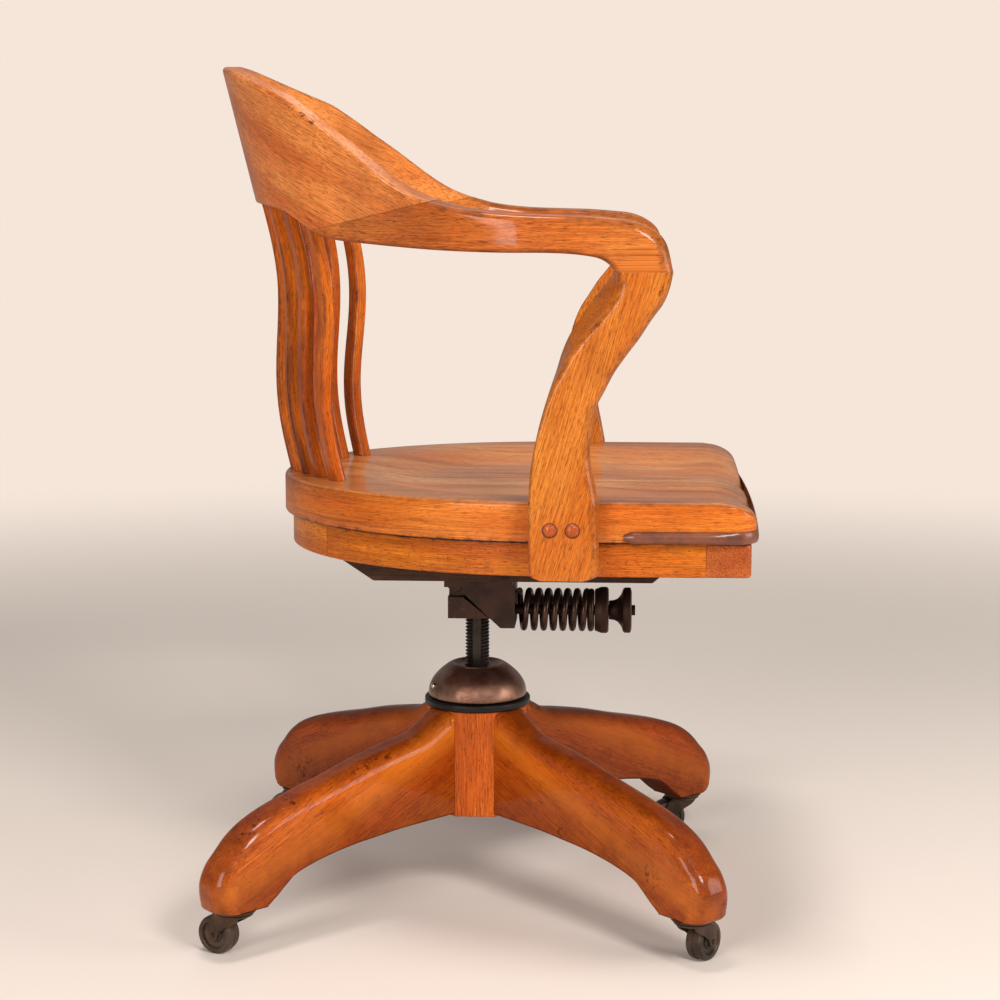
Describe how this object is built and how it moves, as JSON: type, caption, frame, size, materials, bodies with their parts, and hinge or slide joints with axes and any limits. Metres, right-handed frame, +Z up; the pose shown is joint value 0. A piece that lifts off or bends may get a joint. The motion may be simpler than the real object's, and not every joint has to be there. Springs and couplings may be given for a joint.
{
  "type": "swivel desk chair",
  "caption": "Oak bankers swivel chair with a bow back of swayed slats, scrolled arms, a screw height column, a sprung tilting iron and casters.",
  "frame": {"origin": "on the floor, on the swivel column's axis", "axes": "+Z up; the sitter faces -Y, and the sitter's left is +X"},
  "size_m": [0.5594, 0.5538, 0.8702],
  "materials": {
    "hub_block": "varnished oak, darker",
    "leg_rear_right": "varnished oak, darker",
    "leg_rear_left": "varnished oak, darker",
    "leg_front_right": "varnished oak, darker",
    "leg_front_left": "varnished oak, darker",
    "flange_plate": "blacked, satin",
    "socket_tube": "blacked, satin",
    "caster_plate_rear_right": "aged brown-black, satin",
    "caster_horn_rear_right": "aged brown-black, satin",
    "caster_wheel_rear_right": "aged brown-black, satin",
    "caster_axle_rear_right": "aged brown-black, satin",
    "caster_plate_rear_left": "aged brown-black, satin",
    "caster_horn_rear_left": "aged brown-black, satin",
    "caster_wheel_rear_left": "aged brown-black, satin",
    "caster_axle_rear_left": "aged brown-black, satin",
    "caster_plate_front_right": "aged brown-black, satin",
    "caster_horn_front_right": "aged brown-black, satin",
    "caster_wheel_front_right": "aged brown-black, satin",
    "caster_axle_front_right": "aged brown-black, satin",
    "caster_plate_front_left": "aged brown-black, satin",
    "caster_horn_front_left": "aged brown-black, satin",
    "caster_wheel_front_left": "aged brown-black, satin",
    "caster_axle_front_left": "aged brown-black, satin",
    "swivel_sleeve": "aged brown-black, satin",
    "height_nut": "polished brown gunmetal",
    "nut_lock_screw": "aged brown-black, satin",
    "spindle": "blacked, satin",
    "tilt_hub": "aged brown-black, satin",
    "pivot_pin": "aged brown-black, satin",
    "swing_casting": "aged brown-black, satin",
    "tension_bolt": "aged brown-black, satin",
    "tension_spring": "blacked, satin",
    "cup_washer": "aged brown-black, satin",
    "tension_knob": "aged brown-black, satin",
    "seat_board": "varnished oak, glossy",
    "apron_rear": "varnished oak, glossy",
    "apron_front": "varnished oak, glossy",
    "apron_left": "varnished oak, glossy",
    "apron_right": "varnished oak, glossy",
    "bearer_left": "stained dark, dull",
    "bearer_right": "stained dark, dull",
    "guard_bead": "brown lacquered, glossy",
    "crest_rail": "varnished oak, glossy",
    "arm_left": "varnished oak, glossy",
    "arm_right": "varnished oak, glossy",
    "arm_post_left": "varnished oak, glossy",
    "plug_left_1": "varnished oak, darker",
    "plug_left_2": "varnished oak, darker",
    "arm_post_right": "varnished oak, glossy",
    "plug_right_1": "varnished oak, darker",
    "plug_right_2": "varnished oak, darker",
    "slat_1": "varnished oak, glossy",
    "slat_2": "varnished oak, glossy",
    "slat_3": "varnished oak, glossy",
    "slat_4": "varnished oak, glossy",
    "slat_5": "varnished oak, glossy",
    "slat_6": "varnished oak, glossy",
    "slat_7": "varnished oak, glossy",
    "slat_8": "varnished oak, glossy",
    "slat_9": "varnished oak, glossy"
  },
  "bodies": {
    "base": {"hub_block": "hub_block", "leg_rear_right": "leg_rear_right", "leg_rear_left": "leg_rear_left", "leg_front_right": "leg_front_right", "leg_front_left": "leg_front_left", "flange_plate": "flange_plate", "socket_tube": "socket_tube", "caster_plate_rear_right": "caster_plate_rear_right", "caster_plate_rear_left": "caster_plate_rear_left", "caster_plate_front_right": "caster_plate_front_right", "caster_plate_front_left": "caster_plate_front_left"},
    "sleeve": {"swivel_sleeve": "swivel_sleeve"},
    "nut": {"height_nut": "height_nut", "nut_lock_screw": "nut_lock_screw"},
    "column": {"spindle": "spindle", "tilt_hub": "tilt_hub", "pivot_pin": "pivot_pin"},
    "seat": {"swing_casting": "swing_casting", "bearer_left": "bearer_left", "bearer_right": "bearer_right", "seat_board": "seat_board", "apron_rear": "apron_rear", "apron_front": "apron_front", "apron_left": "apron_left", "apron_right": "apron_right", "guard_bead": "guard_bead", "arm_post_left": "arm_post_left", "arm_post_right": "arm_post_right", "arm_left": "arm_left", "arm_right": "arm_right", "crest_rail": "crest_rail", "slat_1": "slat_1", "slat_2": "slat_2", "slat_3": "slat_3", "slat_4": "slat_4", "slat_5": "slat_5", "slat_6": "slat_6", "slat_7": "slat_7", "slat_8": "slat_8", "slat_9": "slat_9", "plug_left_1": "plug_left_1", "plug_left_2": "plug_left_2", "plug_right_1": "plug_right_1", "plug_right_2": "plug_right_2", "tension_spring": "tension_spring"},
    "rod": {"tension_bolt": "tension_bolt"},
    "washer": {"cup_washer": "cup_washer"},
    "knob": {"tension_knob": "tension_knob"},
    "fork_rear_right": {"caster_horn_rear_right": "caster_horn_rear_right", "caster_axle_rear_right": "caster_axle_rear_right"},
    "wheel_rear_right": {"caster_wheel_rear_right": "caster_wheel_rear_right"},
    "fork_rear_left": {"caster_horn_rear_left": "caster_horn_rear_left", "caster_axle_rear_left": "caster_axle_rear_left"},
    "wheel_rear_left": {"caster_wheel_rear_left": "caster_wheel_rear_left"},
    "fork_front_right": {"caster_horn_front_right": "caster_horn_front_right", "caster_axle_front_right": "caster_axle_front_right"},
    "wheel_front_right": {"caster_wheel_front_right": "caster_wheel_front_right"},
    "fork_front_left": {"caster_horn_front_left": "caster_horn_front_left", "caster_axle_front_left": "caster_axle_front_left"},
    "wheel_front_left": {"caster_wheel_front_left": "caster_wheel_front_left"}
  },
  "joints": [
    {"name": "seat_swivel", "type": "hinge", "parent": "base", "child": "sleeve", "pos_m": [0, 0, 0.2133], "axis": [0, 0, 1], "continuous": true},
    {"name": "nut_turn", "type": "hinge", "parent": "sleeve", "child": "nut", "pos_m": [0, 0, 0.2139], "axis": [0, 0, -1], "range_deg": [-3960, 5940]},
    {"name": "height_slide", "type": "slide", "parent": "sleeve", "child": "column", "axis": [0, 0, 1], "range_m": [-0.04, 0.06]},
    {"name": "tilt", "type": "hinge", "parent": "column", "child": "seat", "pos_m": [0, 0.02, 0.3339], "axis": [-1, 0, 0], "range_deg": [0, 15], "stiffness_Nm_per_rad": 180, "springref_deg": -14.32},
    {"name": "rod_draw", "type": "slide", "parent": "seat", "child": "rod", "axis": [0, 1, 0], "range_m": [0, 0.0086]},
    {"name": "washer_slide", "type": "slide", "parent": "rod", "child": "washer", "axis": [0, 1, 0], "range_m": [-0.0021, 0.0121], "deforming": ["tension_spring"]},
    {"name": "knob_turn", "type": "hinge", "parent": "washer", "child": "knob", "pos_m": [0, -0.15, 0.3059], "axis": [0, 1, 0], "range_deg": [-360, 2160]},
    {"name": "caster_swivel_rear_right", "type": "hinge", "parent": "base", "child": "fork_rear_right", "pos_m": [-0.22486, 0.22486, 0.0444], "axis": [0, 0, 1], "continuous": true},
    {"name": "caster_roll_rear_right", "type": "hinge", "parent": "fork_rear_right", "child": "wheel_rear_right", "pos_m": [-0.21704, 0.24163, 0.0195], "axis": [0.9063, -0.4226, 0], "continuous": true},
    {"name": "caster_swivel_rear_left", "type": "hinge", "parent": "base", "child": "fork_rear_left", "pos_m": [0.22486, 0.22486, 0.0444], "axis": [0, 0, 1], "continuous": true},
    {"name": "caster_roll_rear_left", "type": "hinge", "parent": "fork_rear_left", "child": "wheel_rear_left", "pos_m": [0.21853, 0.24224, 0.0195], "axis": [0.9397, 0.342, 0], "continuous": true},
    {"name": "caster_swivel_front_right", "type": "hinge", "parent": "base", "child": "fork_front_right", "pos_m": [-0.22486, -0.22486, 0.0444], "axis": [0, 0, 1], "continuous": true},
    {"name": "caster_roll_front_right", "type": "hinge", "parent": "fork_front_right", "child": "wheel_front_right", "pos_m": [-0.20971, -0.23547, 0.0195], "axis": [-0.5736, -0.8192, 0], "continuous": true},
    {"name": "caster_swivel_front_left", "type": "hinge", "parent": "base", "child": "fork_front_left", "pos_m": [0.22486, -0.22486, 0.0444], "axis": [0, 0, 1], "continuous": true},
    {"name": "caster_roll_front_left", "type": "hinge", "parent": "fork_front_left", "child": "wheel_front_left", "pos_m": [0.21853, -0.20748, 0.0195], "axis": [0.9397, 0.342, 0], "continuous": true}
  ],
  "couplings": [
    {"joint": "height_slide", "follows": "nut_turn", "m_per_rad": 0.00057751},
    {"joint": "rod_draw", "follows": "tilt", "m_per_rad": 0.0325},
    {"joint": "washer_slide", "follows": "knob_turn", "m_per_rad": 0.00031831}
  ]
}
